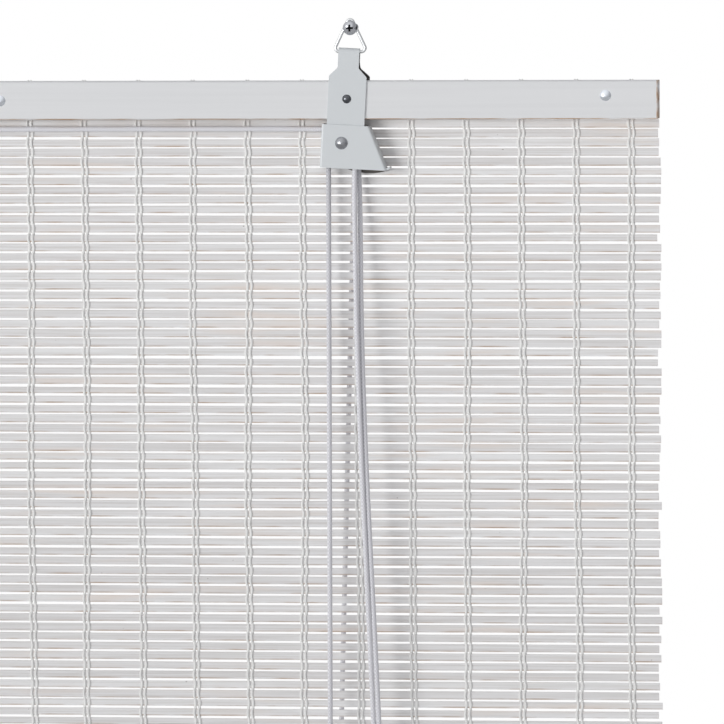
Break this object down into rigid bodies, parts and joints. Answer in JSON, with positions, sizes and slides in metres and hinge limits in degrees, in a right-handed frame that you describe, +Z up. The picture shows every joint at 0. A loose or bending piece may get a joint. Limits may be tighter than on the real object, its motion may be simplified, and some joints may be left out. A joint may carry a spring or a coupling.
{
  "type": "bamboo roll up blind",
  "caption": "Roll up blind of white split bamboo slats woven on warp threads, hung by folded steel hangers on wire rings, with cord lock, end pulley, lift cords, rolled foot and pull knob.",
  "frame": {"origin": "on the wall's face, midway between the axes of the two wall screws", "axes": "+X to the right as seen from the room, +Y into the wall, +Z up"},
  "size_m": [0.8, 0.06, 0.724],
  "materials": {
    "painted_bamboo": "matt white paint over split bamboo, a little brown at the edges",
    "painted_wood": "matt white paint",
    "white_thread": "twisted cotton thread",
    "white_steel": "satin white paint on pressed steel",
    "bright_steel": "bright plated steel",
    "ring_wire": "plated steel wire",
    "nylon": "moulded white nylon",
    "white_cord": "braided white cord",
    "knob_plastic": "moulded white plastic"
  },
  "bodies": {
    "wall_hooks": {"wall_screw_right": "bright_steel", "wall_screw_left": "bright_steel", "ring_right": "ring_wire", "ring_left": "ring_wire"},
    "head": {"head_batten_front": "painted_wood", "head_batten_back": "painted_wood", "head_rivets": "bright_steel", "lock_bracket": "white_steel", "lock_back_plate": "white_steel", "pulley_bracket": "white_steel", "pulley_back_plate": "white_steel", "lock_rivet": "bright_steel", "end_pulley_rivet": "bright_steel", "hanger_screw_right": "bright_steel", "hanger_screw_left": "bright_steel", "hanger_nut_right": "bright_steel", "hanger_nut_left": "bright_steel", "slats": "painted_bamboo", "warp_threads": "white_thread", "lift_cord_right": "white_cord", "lift_cord_left": "white_cord", "pull_cord_right": "white_cord", "pull_cord_left": "white_cord", "pull_knob": "knob_plastic"},
    "lock_pulley": {"lock_pulley": "nylon"},
    "end_pulley": {"end_pulley": "nylon"},
    "roll": {"roll_turns": "painted_bamboo", "foot_batten_front": "painted_wood", "foot_batten_back": "painted_wood", "foot_pins": "painted_wood"}
  },
  "joints": [
    {"name": "blind_swing", "type": "hinge", "parent": "wall_hooks", "child": "head", "pos_m": [0, -0.02293, -0.0144], "axis": [-1, 0, 0], "range_deg": [0, 60]},
    {"name": "lock_pulley_turn", "type": "hinge", "parent": "head", "child": "lock_pulley", "pos_m": [0.2088, -0.02045, -0.0694], "axis": [0, 1, 0], "continuous": true},
    {"name": "end_pulley_turn", "type": "hinge", "parent": "head", "child": "end_pulley", "pos_m": [-0.2141, -0.02045, -0.0694], "axis": [0, 1, 0], "continuous": true},
    {"name": "roll_lift", "type": "slide", "parent": "head", "child": "roll", "axis": [0, 0, 1], "range_m": [0, 0.32], "deforming": ["slats", "warp_threads", "lift_cord_right", "lift_cord_left"]}
  ]
}
